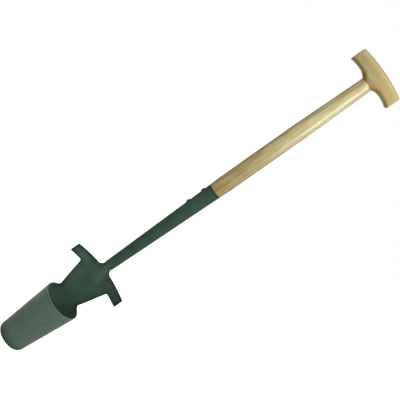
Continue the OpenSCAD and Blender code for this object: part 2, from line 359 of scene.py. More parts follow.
# Blends: above and below the rim from the plate's wear to the cutter's, through the wall from the inside's
# wear to the outside's, and how far back a face has to look to count as the plate's back
rim_blend = 4
wall_blend = 0.5
back_blend = 0.3


def inner_r(z):
    """Radius of the cutter's inside wall at height z, a plain cone; the plate's middle goes on along it."""
    return cut_r - sheet_t + (rim_r - cut_r) * z / cutter_h


def neck_r(z):
    """Outside radius of the neck and socket at height z, a plain cone."""
    return neck_half + (socket_r - neck_half) * (z - neck_foot_z) / (socket_z - neck_foot_z)


def ease(t):
    """Smooth step from 0 to 1: t squared times 3 - 2t."""
    t = np.clip(t, 0, 1)
    return t * t * (3 - 2 * t)


def soft_min(a, b, k):
    """The smaller of a and b, rounded off where they are closer than k: less k/4 times the square of the
    share of k that is missing between them."""
    near = np.maximum(k - np.abs(a - b), 0) / k
    return np.minimum(a, b) - near * near * k / 4


def plate_y(x, z):
    """Front of the dished plate: an arc across, bent like the cutter at its rim and easing to the treads'
    wide dish, along a middle line that follows the cutter's wall and curls back above the treads."""
    tread_low_z = tread_top_z - tread_h
    flat = ease((z - cutter_h) / (tread_low_z - cutter_h))
    bend = 1 / ((1 - flat) / inner_r(z) + flat / tread_dish_r)
    curl = np.maximum(z - curl_start_z, 0) / (neck_foot_z - curl_start_z)
    return inner_r(z) - bend + np.sqrt(np.maximum(bend**2 - x**2, 0)) + curl_depth * curl**2


def below_roll(z):
    """Depth below the start of the rolled neck, growing from 0 there to 1 at the cutter's rim."""
    return np.maximum(roll_z - z, 0) / (roll_z - cutter_h)


def ridge_y(x, z):
    """Front of the neck's ridge: an arc, straight past ridge_angle. It is the neck's own where the roll
    starts; with the square of the depth below, the arc widens and its crest sinks back."""
    sunk = below_roll(z) ** 2
    r = neck_r(z) + ridge_flare * sunk
    side = r * math.sin(ridge_angle)
    past = np.maximum(np.abs(x) - side, 0)
    near = np.minimum(np.abs(x), side)
    crest = shaft_y - neck_r(z) + ridge_sink * sunk
    return crest + r - np.sqrt(r**2 - near**2) + past * math.tan(ridge_angle)


def pressed(x, z):
    """Points of the pressed sheet's front over the front view's x and z: the foremost of ridge and plate. The
    pressing that blends them widens with the depth below the roll."""
    x, z = np.broadcast_arrays(x, z)
    press = press_r + press_flare * below_roll(z)
    return np.stack([x, soft_min(plate_y(x, z), ridge_y(x, z), press), z], axis=-1)


def fillet(corner, a, b, radius, t):
    """Points at t, from 0 on edge a to 1 on edge b, of the arc that rounds a corner of the front view.
    The unit vectors a and b run along the edges away from the corner."""
    half = math.acos(a @ b) / 2
    centre = corner + (a + b) / np.linalg.norm(a + b) * radius / math.sin(half)
    first = corner + a * radius / math.tan(half) - centre
    last = corner + b * radius / math.tan(half) - centre
    sweep = math.pi - 2 * half
    share = np.asarray(t)[:, None]
    return centre + (np.sin((1 - share) * sweep) * first + np.sin(share * sweep) * last) / math.sin(sweep)


def straight(start, end, steps):
    """Points that divide a line evenly, without its two ends."""
    return start + (end - start) * np.linspace(0, 1, steps + 1)[1:-1, None]


def grid_faces(rows, columns, closed):
    """Four-cornered faces of a grid whose points run along its rows; closed joins the last column to the
    first."""
    index = np.arange(rows * columns).reshape(rows, columns)
    if closed:
        index = np.hstack([index, index[:, :1]])
    return np.stack([index[:-1, :-1], index[:-1, 1:], index[1:, 1:], index[1:, :-1]], axis=-1).reshape(-1, 4)


def join(grids):
    """One array of points and one of faces from several grids, each given with its faces."""
    starts = np.cumsum([0] + [points.size // 3 for points, faces in grids])
    points = np.concatenate([points.reshape(-1, 3) for points, faces in grids])
    return points, np.concatenate([faces + start for (_, faces), start in zip(grids, starts)])


def unit(v):
    """Vector of length 1 along v."""
    return v / np.linalg.norm(v)


def head_grids():
    """Front of the sheet as four grids that share their borders. Each inner corner of the outline is split at
    the middle of its fillet, so that grid lines meet every edge of the sheet squarely."""
    waist = np.array([waist_half, cutter_h])
    armpit = np.array([plate_half, tread_top_z - plate_half * tread_slope - tread_h])
    tip_high = np.array([tread_half, tread_top_z - tread_half * tread_slope])
    tip_low = tip_high - [0, tread_tip_h]
    collar = np.array([neck_half, tread_top_z - neck_half * tread_slope])
    rim_way, up = np.array([1.0, 0.0]), np.array([0.0, 1.0])
    flare = unit(armpit - waist)

    half_fillet_points = 8
    lower_half = np.linspace(0, 0.5, half_fillet_points)
    upper_half = np.linspace(0.5, 1, half_fillet_points)
    waist_low = fillet(waist, rim_way, flare, rim_fillet, lower_half)
    waist_high = fillet(waist, rim_way, flare, rim_fillet, upper_half)
    armpit_low = fillet(armpit, -flare, unit(tip_low - armpit), tread_fillet, lower_half)
    armpit_high = fillet(armpit, -flare, unit(tip_low - armpit), tread_fillet, upper_half)
    collar_low = fillet(collar, unit(tip_high - collar), up, neck_fillet, lower_half)
    collar_high = fillet(collar, unit(tip_high - collar), up, neck_fillet, upper_half)

    # Columns across the plate, as shares of its half width: even over the neck's ridge, wider beside it
    ridge_columns, side_columns = 24, 22
    ridge_share = collar_high[0, 0] / armpit_high[0, 0]
    right = np.concatenate([
        np.linspace(0, ridge_share, ridge_columns + 1),
        np.linspace(ridge_share, 1, side_columns + 1)[1:],
    ])
    across = np.concatenate([-right[:0:-1], right])

    # Cutter: a closed ring of columns, its top edge rising along the fillets to the plate's first row. Rows
    # lie close to the bevel and to the rim, which keeps them crisp.
    ring_columns, wall_rows = 110, 40
    bevel_gap, first_wall_row, rim_gap = 0.4, 3, 0.6
    plate_top = np.stack([across * waist_high[0, 0], np.full(across.size, waist_high[0, 1])], axis=-1)
    rising = waist_low[-2::-1]
    plate_turn = np.arcsin(plate_top[:, 0] / inner_r(plate_top[:, 1]))
    rising_turn = np.arcsin(rising[:, 0] / inner_r(rising[:, 1]))
    open_turn = np.linspace(rising_turn[-1], 2 * math.pi - rising_turn[-1], ring_columns + 1)[1:-1]
    turn = np.concatenate([plate_turn, rising_turn, open_turn, 2 * math.pi - rising_turn[::-1]])
    top = np.concatenate([
        plate_top[:, 1],
        rising[:, 1],
        np.full(open_turn.size, float(cutter_h)),
        rising[::-1, 1],
    ])
    rows = np.concatenate([
        [0, edge_h, edge_h + bevel_gap],
        np.linspace(edge_h + first_wall_row, cutter_h - rim_gap, wall_rows),
        [cutter_h],
    ])
    height = (rows / cutter_h)[:, None] * top
    ring = np.stack([inner_r(height) * np.sin(turn), inner_r(height) * np.cos(turn), height], axis=-1)

    # Plate: rows that widen from the rim to the treads
    plate_steps = 44
    side = np.concatenate([waist_high, straight(waist_high[-1], armpit_low[0], plate_steps), armpit_low])
    plate = pressed(side[:, :1] * across, side[:, 1:])

    # Treads: columns over the full span, between the lower edge and the upper one
    tread_columns, tread_rows = 24, 20
    wing = np.concatenate([armpit_high[1:], straight(armpit_high[-1], tip_low, tread_columns), tip_low[None]])
    lower = np.concatenate([
        wing[::-1] * [-1, 1],
        np.stack([across * armpit_high[0, 0], np.full(across.size, armpit_high[0, 1])], axis=-1),
        wing,
    ])
    edge = np.concatenate([collar_low[::-1], tip_high[None]])
    upper_z = np.interp(np.abs(lower[:, 0]), edge[:, 0], edge[:, 1])
    rise = np.linspace(0, 1, tread_rows + 1)[:, None]
    treads = pressed(lower[:, 0], lower[:, 1] + rise * (upper_z - lower[:, 1]))

    # Neck and socket: the sheet above the treads rolls round the shaft's axis until its edges nearly meet
    collar_steps, throat_rows, socket_rows = 5, 34, 40
    throat_end_z = throat_high_z + 5
    socket_rim_gap = 1
    round_share = np.linspace(-1, 1, 2 * ridge_columns + 1)
    collar_rows = np.concatenate([
        collar_high,
        straight(collar_high[-1], np.array([neck_half, neck_foot_z]), collar_steps),
    ])
    tube_z = np.concatenate([
        np.linspace(neck_foot_z, throat_end_z, throat_rows),
        np.linspace(throat_end_z, socket_z - socket_rim_gap, socket_rows)[1:],
        [socket_z],
    ])
    mixed_z = np.concatenate([collar_rows[:, 1], tube_z])[:, None]
    gap = np.interp(mixed_z, [roll_z, throat_high_z], [neck_half, seam_half])
    roll = (math.pi - np.arcsin(np.minimum(gap / neck_r(mixed_z), 1))) * round_share
    tube = np.stack([
        neck_r(mixed_z) * np.sin(roll),
        shaft_y - neck_r(mixed_z) * np.cos(roll),
        mixed_z + 0 * roll,
    ], axis=-1)
    flat_half = np.concatenate([collar_rows[:, 0], np.full(tube_z.size, neck_half)])[:, None]
    sheet = pressed(flat_half * round_share, mixed_z)
    rolled = ease((mixed_z - collar_high[0, 1]) / (neck_foot_z - collar_high[0, 1]))[:, :, None]
    neck = sheet + rolled * (tube - sheet)

    grids = [(ring, True), (plate, False), (treads, False), (neck, False)]
    return join([(points, grid_faces(*points.shape[:2], closed)) for points, closed in grids])


def merge_points(piece, gap):
    """Joins the points of a piece that lie closer than gap, such as those of two grids' common border."""
    whole = bmesh.new()
    whole.from_mesh(piece.data)
    bmesh.ops.remove_doubles(whole, verts=whole.verts, dist=gap * MM)
    whole.to_mesh(piece.data)
    whole.free()


def nearest(points, marks):
    """Distance from each point to the nearest mark. The square of a distance is the sum of both squared
    lengths less twice their dot product."""
    squares = (points**2).sum(axis=1)[:, None] + (marks**2).sum(axis=1) - 2 * points @ marks.T
    return np.sqrt(np.maximum(squares.min(axis=1), 0))


def linear(colour):
    """Linear RGBA of an sRGB hex colour: each channel c goes to ((c + 0.055)/1.055)^2.4, or to c/12.92 when
    dark."""
    channels = [int(colour[i:i + 2], 16) / 255 for i in (1, 3, 5)]
    return [c / 12.92 if c <= 0.04045 else ((c + 0.055) / 1.055) ** 2.4 for c in channels] + [1.0]


def powder_coat(name, shade, light):
    """Satin powder coat on steel: a dark green with soft patches and the fine dimples of baked powder. Gives
    the material, its tree, the patches, the colour and the surface."""
    material, tree = start_material(name)
    place = add_node(tree, "ShaderNodeTexCoord").outputs["Object"]
    cloud = add_node(tree, "ShaderNodeTexNoise", {
        "Vector": place,
        "W": coat_cloud,
        "Scale": per(coat_mottle),
        "Detail": 5.0,
        "Roughness": 0.7,
    }, noise_dimensions="4D")
    peel = add_node(tree, "ShaderNodeTexNoise", {"Vector": place, "Scale": per(coat_peel), "Detail": 2.0})
    patch = add_node(tree, "ShaderNodeMapRange", {
        "Value": cloud.outputs[0],
        "From Min": noise_low,
        "From Max": noise_high,
    }).outputs[0]
    tone = add_node(tree, "ShaderNodeMix", {
        "Factor": patch,
        "A": linear(shade),
        "B": linear(light),
    }, data_type="RGBA").outputs["Result"]
    roughness = add_node(tree, "ShaderNodeMapRange", {
        "Value": peel.outputs[0],
        "To Min": coat_roughness[0],
        "To Max": coat_roughness[1],
    }).outputs[0]
    dimples = add_node(tree, "ShaderNodeBump", {
        "Height": peel.outputs[0],
        "Strength": 0.3,
        "Distance": coat_peel_depth * MM,
    }).outputs[0]
    surface = add_node(tree, "ShaderNodeBsdfPrincipled", {
        "Base Color": tone,
        "Roughness": roughness,
        "Normal": dimples,
        "IOR": 1.45,
    })
    add_node(tree, "ShaderNodeOutputMaterial", {"Surface": surface.outputs[0]})
    return material, tree, patch, tone, surface


def head_coat():
    """The head's powder coat. Soil has scuffed it to a greyer green: most on the cutter's outside, less
    towards its foot, which is darker, inside it and up the plate's back. Deep inside the cutter the lighter
    scuff is partly painted light, and soft lighter spots on the plate's front are mostly painted highlights.
    A paler grey under the rim and on the cutter's left is painted sheen, the pale front rim is a painted
    highlight, and painted shade lies along the sheet's edges and below the socket's rim. A fine grit covers
    it all.
    The cutter's outside is where the distance from its axis passes the middle of its wall."""
    material, tree, patch, tone, surface = powder_coat("green_powder_coat", coat_green, coat_green_light)
    place = add_node(tree, "ShaderNodeTexCoord").outputs["Object"]
    level = add_node(tree, "ShaderNodeVectorMath", {0: place, 1: (1.0, 1.0, 0.0)}, operation="MULTIPLY")
    reach = add_node(tree, "ShaderNodeVectorMath", {0: level.outputs[0]}, operation="LENGTH").outputs["Value"]
    way = add_node(tree, "ShaderNodeSeparateXYZ", {0: place}).outputs
    height = way["Z"]

    # Scuffs on the cutter, with painted light deep inside it and a darker foot
    wall_middle = add_node(tree, "ShaderNodeMath", {
        0: height,
        1: (rim_r - cut_r) / cutter_h,
        2: (cut_r - sheet_t / 2) * MM,
    }, operation="MULTIPLY_ADD").outputs[0]
    beyond = add_node(tree, "ShaderNodeMath", {0: reach, 1: wall_middle}, operation="SUBTRACT").outputs[0]
    # Deeper inside the cutter the scuff is partly painted light
    inside_scuff_and_light = add_node(tree, "ShaderNodeMapRange", {
        "Value": height,
        "From Min": scuff_and_light_inside_z[0] * MM,
        "From Max": scuff_and_light_inside_z[1] * MM,
        "To Min": scuff_and_light_inside[0],
        "To Max": scuff_and_light_inside[1],
    }).outputs[0]
    outside = add_node(tree, "ShaderNodeMapRange", {
        "Value": beyond,
        "From Min": 0.0,
        "From Max": wall_blend * MM,
        "To Min": inside_scuff_and_light,
    }).outputs[0]
    # The cutter's outside is darker towards its foot
    foot_darkening = add_node(tree, "ShaderNodeMapRange", {
        "Value": height,
        "From Min": darker_foot_z[0] * MM,
        "From Max": darker_foot_z[1] * MM,
        "To Max": darker_foot,
    }, interpolation_type="SMOOTHSTEP").outputs[0]
    on_wall = add_node(tree, "ShaderNodeMath", {
        0: outside,
        1: foot_darkening,
    }, operation="SUBTRACT", use_clamp=True).outputs[0]

    # Scuffs on the plate's back, and lighter spots on its front that are mostly painted highlights
    normal = add_node(tree, "ShaderNodeTexCoord").outputs["Normal"]
    backward = add_node(tree, "ShaderNodeSeparateXYZ", {0: normal}).outputs["Y"]
    plate_back = add_node(tree, "ShaderNodeMapRange", {"Value": backward, "From Max": back_blend}).outputs[0]
    scuffed_back = add_node(tree, "ShaderNodeMapRange", {
        "Value": height,
        "From Min": neck_foot_z * MM,
        "From Max": cutter_h * MM,
        "To Max": scuff_plate_back,
    }, interpolation_type="SMOOTHSTEP").outputs[0]
    front_spots = 0.0
    for (x, z), (half_w, half_h), share in highlight_and_rub_spots:
        from_middle = add_node(tree, "ShaderNodeMapping", {
            "Vector": place,
            "Location": (x * MM, 0.0, z * MM),
            "Scale": (half_w * MM, spot_depth * MM, half_h * MM),
        }, vector_type="TEXTURE").outputs[0]
        out = add_node(tree, "ShaderNodeVectorMath", {0: from_middle}, operation="LENGTH").outputs["Value"]
        soft_spot = add_node(tree, "ShaderNodeMapRange", {
            "Value": out,
            "From Min": 1.0,
            "From Max": 0.0,
            "To Max": share,
        }, interpolation_type="SMOOTHSTEP").outputs[0]
        front_spots = add_node(tree, "ShaderNodeMath", {0: soft_spot, 1: front_spots}, operation="ADD").outputs[0]
    on_plate = add_node(tree, "ShaderNodeMix", {
        "Factor": plate_back,
        "A": front_spots,
        "B": scuffed_back,
    }).outputs["Result"]

    # Both together, with the painted sheen on them
    on_cutter = add_node(tree, "ShaderNodeMapRange", {
        "Value": height,
        "From Min": (cutter_h + rim_blend) * MM,
        "From Max": (cutter_h - rim_blend) * MM,
    }).outputs[0]
    scuffed = add_node(tree, "ShaderNodeMix", {
        "Factor": on_cutter,
        "A": on_plate,
        "B": on_wall,
    }).outputs["Result"]
    scuffs = add_node(tree, "ShaderNodeMix", {
        "Factor": patch,
        "A": linear(coat_scuffed),
        "B": linear(coat_scuffed_green),
    }, data_type="RGBA").outputs["Result"]
    # A paler grey is painted as sheen up towards the rim and round the cutter's left
    painted_sheen_high = add_node(tree, "ShaderNodeMapRange", {
        "Value": height,
        "From Min": painted_sheen_rim_z[0] * MM,
        "From Max": painted_sheen_rim_z[1] * MM,
        "To Max": painted_sheen_rim,
    }).outputs[0]
    painted_sheen_left = add_node(tree, "ShaderNodeMapRange", {
        "Value": way["X"],
        "From Min": painted_sheen_left_x[0] * MM,
        "From Max": painted_sheen_left_x[1] * MM,
        "To Max": on_cutter,
    }, interpolation_type="SMOOTHSTEP").outputs[0]
    painted_sheen = add_node(tree, "ShaderNodeMath", {
        0: painted_sheen_high,
        1: painted_sheen_left,
    }, operation="ADD", use_clamp=True).outputs[0]
    with_painted_sheen = add_node(tree, "ShaderNodeMix", {
        "Factor": painted_sheen,
        "A": scuffs,
        "B": linear(coat_painted_sheen),
    }, data_type="RGBA").outputs["Result"]
    worn = add_node(tree, "ShaderNodeMix", {
        "Factor": scuffed,
        "A": tone,
        "B": with_painted_sheen,
    }, data_type="RGBA").outputs["Result"]

    # Painted shade along the edges and below the socket's rim, and the painted highlight on the front rim
    from_edge = add_node(tree, "ShaderNodeAttribute", attribute_name="from_edge").outputs["Fac"]
    painted_edge_shade = add_node(tree, "ShaderNodeMapRange", {
        "Value": from_edge,
        "From Min": coat_edge_w,
        "From Max": coat_edge_core,
    }, interpolation_type="SMOOTHSTEP").outputs[0]
    faint_edge_shade = add_node(tree, "ShaderNodeMapRange", {
        "Value": from_edge,
        "From Min": coat_fade_w,
        "From Max": 0.0,
        "To Max": coat_fade,
    }).outputs[0]
    # Painted shadow below the socket's rim
    rim_shade = add_node(tree, "ShaderNodeMapRange", {
        "Value": height,
        "From Min": (socket_z - socket_rim_shade_w) * MM,
        "From Max": socket_z * MM,
        "To Max": socket_rim_shade,
    }, interpolation_type="SMOOTHSTEP").outputs[0]
    edge_or_rim_shade = add_node(tree, "ShaderNodeMath", {0: painted_edge_shade, 1: rim_shade}, operation="MAXIMUM").outputs[0]
    edge = add_node(tree, "ShaderNodeMath", {0: edge_or_rim_shade, 1: faint_edge_shade}, operation="MAXIMUM").outputs[0]
    edged = add_node(tree, "ShaderNodeMix", {
        "Factor": edge,
        "A": worn,
        "B": linear(coat_edge_shade),
    }, data_type="RGBA").outputs["Result"]
    # The front rim's pale line is a painted highlight
    rim = add_node(tree, "ShaderNodeAttribute", attribute_name="rim_highlight").outputs["Fac"]
    rimmed = add_node(tree, "ShaderNodeMix", {
        "Factor": rim,
        "A": edged,
        "B": linear(coat_rim_highlight),
    }, data_type="RGBA").outputs["Result"]

    # Grit over all of it, shine and sheen
    grit = add_node(tree, "ShaderNodeTexNoise", {"Vector": place, "Scale": per(coat_grit), "Detail": 2.0})
    speck = add_node(tree, "ShaderNodeMapRange", {
        "Value": grit.outputs[0],
        "From Min": noise_low,
        "From Max": noise_high,
        "To Min": 1 - coat_grit_depth,
        "To Max": 1 + coat_grit_depth,
    }).outputs[0]
    gritty = add_node(tree, "ShaderNodeHueSaturation", {"Value": speck, "Color": rimmed}).outputs[0]
    shine = add_node(tree, "ShaderNodeMapRange", {
        "Value": edge,
        "To Min": coat_shine,
        "To Max": coat_edge_shine,
    }).outputs[0]
    most_dust = add_node(tree, "ShaderNodeMapRange", {
        "Value": edge,
        "To Min": coat_dust,
        "To Max": 0.0,
    }).outputs[0]
    dust = add_node(tree, "ShaderNodeMath", {0: scuffed, 1: most_dust}, operation="MULTIPLY").outputs[0]
    tree.links.new(gritty, surface.inputs["Base Color"])
    tree.links.new(shine, surface.inputs["Specular IOR Level"])
    tree.links.new(dust, surface.inputs["Sheen Weight"])
    return material


border_gap = 0.06
head_points, head_faces = head_grids()
head = put_mesh("head", head_points, head_faces, head_coat())
merge_points(head, border_gap)

# An edge of the sheet belongs to one face only. Painted shade runs along the edges and over all the bevel.
# The rim in front of the plate gets a painted highlight instead, and the neck's seam and the socket's rim
# keep their colour.
same_z = 0.01
corners = np.empty(len(head.data.loops), dtype=int)
head.data.loops.foreach_get("vertex_index", corners)
corners = corners.reshape(-1, 4)
sides = np.sort(np.stack([corners, np.roll(corners, -1, axis=1)], axis=-1).reshape(-1, 2), axis=1)
sides, uses = np.unique(sides, axis=0, return_counts=True)
spots = np.empty(len(head.data.vertices) * 3)
head.data.vertices.foreach_get("co", spots)
spots = spots.reshape(-1, 3) / MM
heights = spots[:, 2]
border = np.unique(sides[uses == 1])
on_rim = np.abs(heights[border] - cutter_h) < same_z
on_neck = heights[border] > neck_foot_z
from_edge = nearest(spots, spots[border[~on_rim & ~on_neck]])
# The bevel is painted shade all over
from_edge[heights < edge_h + same_z] = 0
rim_highlight = np.zeros(heights.size)
rim_highlight[border[on_rim]] = 1.0
for name, values in (("from_edge", from_edge), ("rim_highlight", rim_highlight)):
    head.data.attributes.new(name, "FLOAT", "POINT").data.foreach_set("value", values)

# The sheet's thickness, thinner at the cutting edge, and its rounded edges
wall = head.vertex_groups.new(name="full_wall")
wall.add(np.flatnonzero(heights > edge_h / 2).tolist(), 1.0, "REPLACE")
thickness = head.modifiers.new("sheet", "SOLIDIFY")
thickness.thickness = sheet_t * MM
thickness.offset = -1
thickness.use_even_offset = True
thickness.vertex_group = "full_wall"
thickness.thickness_vertex_group = edge_t / sheet_t
rounding = head.modifiers.new("edges", "BEVEL")
rounding.width = sheet_edge_round * MM
rounding.segments = 2
rounding.limit_method = "ANGLE"
rounding.angle_limit = math.radians(50)
closing = head.modifiers.new("cutting_edge", "WELD")
closing.merge_threshold = weld_gap * MM
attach(head, "root")
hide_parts("planter_head")

# Rivets
# Two steel rivets pass through the socket and the shaft from left to right. Each has a domed head on the
# left, bedded on the socket's round side, and a flush end on the right. They carry the head's coat, a shade
# darker.
rivet_r = 2.5
rivet_head_r = 6
rivet_head_h = 2.6
rivet_bed = 1.2
rivet_end_round = 0.4
rivet_edge = 0.15
rivet_dome_points = 12
rivet_segments = 40
pole_gap = 0.001
rivet_green = "#1d2c23"
rivet_green_light = "#26392d"
rivet_coat = powder_coat("rivet_powder_coat", rivet_green, rivet_green_light)[0]


def turned(profile, segments):
    """Surface of a profile of radius and height, turned about the z axis and closed at both of its poles."""
    angle = np.arange(segments) * 2 * math.pi / segments
    radius, height = profile[:, :1], profile[:, 1:]
    points = np.stack([radius * np.cos(angle), radius * np.sin(angle), height + 0 * angle], axis=-1)
    return points, grid_faces(*points.shape[:2], True)


def rivet(name):
    """A rivet from its flush end to the top of its dome: the dome is a cap of a sphere, and a close pair of
    points keeps its edge crisp."""
    low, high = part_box(name)
    height = (low.z + high.z) / 2 / MM
    seat = high.x / MM
    dome_r = (rivet_head_r**2 + rivet_head_h**2) / (2 * rivet_head_h)
    dome_turn = np.linspace(math.asin(rivet_head_r / dome_r), 0, rivet_dome_points)
    shank = np.array([
        [0, -seat],
        [rivet_r - rivet_end_round, -seat],
        [rivet_r, -seat + rivet_end_round],
        [rivet_r, seat - rivet_bed],
        [rivet_head_r, seat - rivet_bed],
        [rivet_head_r, seat - rivet_edge],
    ])
    dome = np.stack([
        dome_r * np.sin(dome_turn),
        seat + rivet_head_h - dome_r + dome_r * np.cos(dome_turn),
    ], axis=-1)
    points, faces = turned(np.concatenate([shank, dome]), rivet_segments)
    placed = np.stack([-points[..., 2], shaft_y + points[..., 1], height + points[..., 0]], axis=-1)
    piece = put_mesh(name + "_turned", placed.reshape(-1, 3), faces, rivet_coat)
    merge_points(piece, pole_gap)
    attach(piece, "root")
    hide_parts(name)


rivet("lower_rivet")
rivet("upper_rivet")

# Shaft
# A turned shaft of straight-grained ash under clear lacquer. Its tapered foot fills the socket, a chamfered
# shoulder meets the socket's rim, and a tenon at the top goes up into the grip.
shaft_r = (shaft_high.x - shaft_low.x) / 2 / MM
shaft_foot_z = shaft_low.z / MM
tenon_top_z = shaft_high.z / MM
grip_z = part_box("grip")[0].z / MM
shaft_top_r = 15.25
tenon_r = 12
swell_l = 30
straight_l = 172
shoulder_chamfer = 0.9
fit_gap = 0.1
turned_edge = 0.25
swell_rows, straight_rows, taper_rows = 16, 30, 40
shaft_segments = 96

# Ash grain: length of a streak, width and length of the figure's patches, of a fibre and of a change of hue,
# how far the hue swings, width of a growth ring, place of the tree's heart. Real fibres are finer: they are
# drawn this coarse so that they show. The wave texture repeats every 0.314 units at scale 1.
streak_l = 260
figure_w, figure_l = 13, 40
fibre_w, fibre_l = 2.2, 90
fibre_depth = 0.05
hue_w, hue_l = 12, 35
hue_middle, hue_swing = 0.505, 0.009
ring_w = 6
wave_period = 0.314
heart_x, heart_y = 34, 21
ash_roughness = 0.36, 0.46

# The shaft's tones from pale to dark, width of a streak, and how far rings, streaks, figure and fibres move
# the tone. It is darker at its foot than above, and a stripe of painted shade on its left widens towards the
# grip.
shaft_tones = "#c7bb8f", "#ac9962", "#826a2e"
shaft_streak_w = 3.5
shaft_depths = 0.1, 0.2, 0.36, 0.3
shaft_shades = (
    ((0, 0, 1), socket_z + 50, 0.29, socket_z + 230, -0.2),
    # A stripe of painted shade on the left
    ((1, 0, -0.045), -44.6, 0.0, -48.6, 0.34),
)


def shaft_profile():
    """Radius and height along the shaft: taper in the socket, shoulder, swell that rises as a quarter sine,
    parallel stretch, straight taper, tenon. Close pairs of points keep the turned edges crisp."""
    tenon_foot_r = neck_r(shaft_foot_z) - sheet_t - fit_gap
    tenon_rim_r = neck_r(socket_z) - sheet_t - fit_gap
    swell = np.linspace(0, 1, swell_rows)
    taper_z = np.linspace(socket_z + swell_l + straight_l, grip_z, taper_rows)
    taper = (taper_z - taper_z[0]) / (grip_z - taper_z[0])
    foot = [
        [0, shaft_foot_z],
        [tenon_foot_r - turned_edge, shaft_foot_z],
        [tenon_foot_r, shaft_foot_z + turned_edge],
        [tenon_rim_r, socket_z],
        [socket_r - shoulder_chamfer - turned_edge / 2, socket_z],
        [socket_r - shoulder_chamfer, socket_z],
        [socket_r - turned_edge / 2, socket_z + shoulder_chamfer - turned_edge / 2],
    ]
    swelling = np.stack([
        socket_r + (shaft_r - socket_r) * np.sin(swell * math.pi / 2),
        socket_z + shoulder_chamfer + (swell_l - shoulder_chamfer) * swell,
    ], axis=-1)
    parallel = np.stack([
        np.full(straight_rows, shaft_r),
        np.linspace(socket_z + swell_l, taper_z[0], straight_rows + 2)[1:-1],
    ], axis=-1)
    narrowing = np.stack([shaft_r + (shaft_top_r - shaft_r) * taper, taper_z], axis=-1)
    top = [
        [shaft_top_r - turned_edge, grip_z],
        [tenon_r, grip_z],
        [tenon_r, tenon_top_z - turned_edge],
        [tenon_r - turned_edge, tenon_top_z],
        [0, tenon_top_z],
    ]
    return np.concatenate([foot, swelling, parallel, narrowing, top])


def ash(name, grain, tones, streak_w, depths, shades):
    """Lacquered ash with its grain along one axis: growth rings cut by the surface, streaks, patches of
    figure and fibres drawn out along the grain, and soft changes of hue. Tones run from pale to dark, and
    depths tell how far rings, streaks, figure and fibres move the tone. Each shade gives a direction, and
    two places along it, each followed by the depth of tone that is added there."""
    material, tree = start_material(name)
    place = add_node(tree, "ShaderNodeTexCoord").outputs["Object"]
    along = "XYZ".index(grain)

    def drawn_out(across, length, detail):
        """Noise drawn out along the grain."""
        scale = [per(across)] * 3
        scale[along] = per(length)
        stretch = add_node(tree, "ShaderNodeMapping", {"Vector": place, "Scale": scale}).outputs[0]
        noise = add_node(tree, "ShaderNodeTexNoise", {
            "Vector": stretch,
            "Scale": 1.0,
            "Detail": detail,
        }).outputs[0]
        return add_node(tree, "ShaderNodeMapRange", {
            "Value": noise,
            "From Min": noise_low,
            "From Max": noise_high,
        }).outputs[0]

    streaks = drawn_out(streak_w, streak_l, 2.0)
    figure = drawn_out(figure_w, figure_l, 2.0)
    fibres = drawn_out(fibre_w, fibre_l, 3.0)
    heart = [heart_x * MM, heart_y * MM, heart_x * MM]
    heart[along] = 0.0
    off_heart = add_node(tree, "ShaderNodeVectorMath", {0: place, 1: heart}, operation="ADD").outputs[0]
    rings = add_node(tree, "ShaderNodeTexWave", {
        "Vector": off_heart,
        "Scale": wave_period * per(ring_w),
        "Distortion": 2.2,
        "Detail": 2.0,
        "Detail Scale": 0.12,
    }, wave_type="RINGS", rings_direction=grain, wave_profile="SIN").outputs[1]

    # All depths together swing about the middle tone
    depth = 0.5 - sum(depths) / 2
    for way, start, start_depth, end, end_depth in shades:
        reach = add_node(tree, "ShaderNodeVectorMath", {
            0: place,
            1: way,
        }, operation="DOT_PRODUCT").outputs["Value"]
        shade = add_node(tree, "ShaderNodeMapRange", {
            "Value": reach,
            "From Min": start * MM,
            "From Max": end * MM,
            "To Min": start_depth,
            "To Max": end_depth,
        }, interpolation_type="SMOOTHSTEP").outputs[0]
        depth = add_node(tree, "ShaderNodeMath", {0: shade, 1: depth}, operation="ADD").outputs[0]
    for pattern, share in zip((rings, streaks, figure, fibres), depths):
        depth = add_node(tree, "ShaderNodeMath", {
            0: pattern,
            1: share,
            2: depth,
        }, operation="MULTIPLY_ADD").outputs[0]
    tone = add_node(tree, "ShaderNodeValToRGB", {0: depth})
    stops = tone.color_ramp.elements
    stops[0].position = 0.0
    stops[0].color = linear(tones[0])
    stops[1].position = 1.0
    stops[1].color = linear(tones[2])
    stops.new(0.5).color = linear(tones[1])
    hue = add_node(tree, "ShaderNodeMapRange", {
        "Value": drawn_out(hue_w, hue_l, 1.0),
        "To Min": hue_middle - hue_swing,
        "To Max": hue_middle + hue_swing,
    }).outputs[0]
    tinted = add_node(tree, "ShaderNodeHueSaturation", {"Hue": hue, "Color": tone.outputs[0]}).outputs[0]

    roughness = add_node(tree, "ShaderNodeMapRange", {
        "Value": fibres,
        "To Min": ash_roughness[0],
        "To Max": ash_roughness[1],
    }).outputs[0]
    relief = add_node(tree, "ShaderNodeBump", {
        "Height": fibres,
        "Strength": 0.1,
        "Distance": fibre_depth * MM,
    }).outputs[0]
    surface = add_node(tree, "ShaderNodeBsdfPrincipled", {
        "Base Color": tinted,
        "Roughness": roughness,
        "Normal": relief,
        "IOR": 1.5,
        "Coat Weight": 1.0,
        "Coat Roughness": 0.3,
    })
    add_node(tree, "ShaderNodeOutputMaterial", {"Surface": surface.outputs[0]})
    return material


shaft_points, shaft_faces = turned(shaft_profile(), shaft_segments)
shaft_points = shaft_points.reshape(-1, 3) + [0, shaft_y, 0]
shaft_ash = ash("shaft_ash", "Z", shaft_tones, shaft_streak_w, shaft_depths, shaft_shades)
shaft = put_mesh("shaft_turned", shaft_points, shaft_faces, shaft_ash)
merge_points(shaft, pole_gap)
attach(shaft, "root")
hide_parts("shaft")

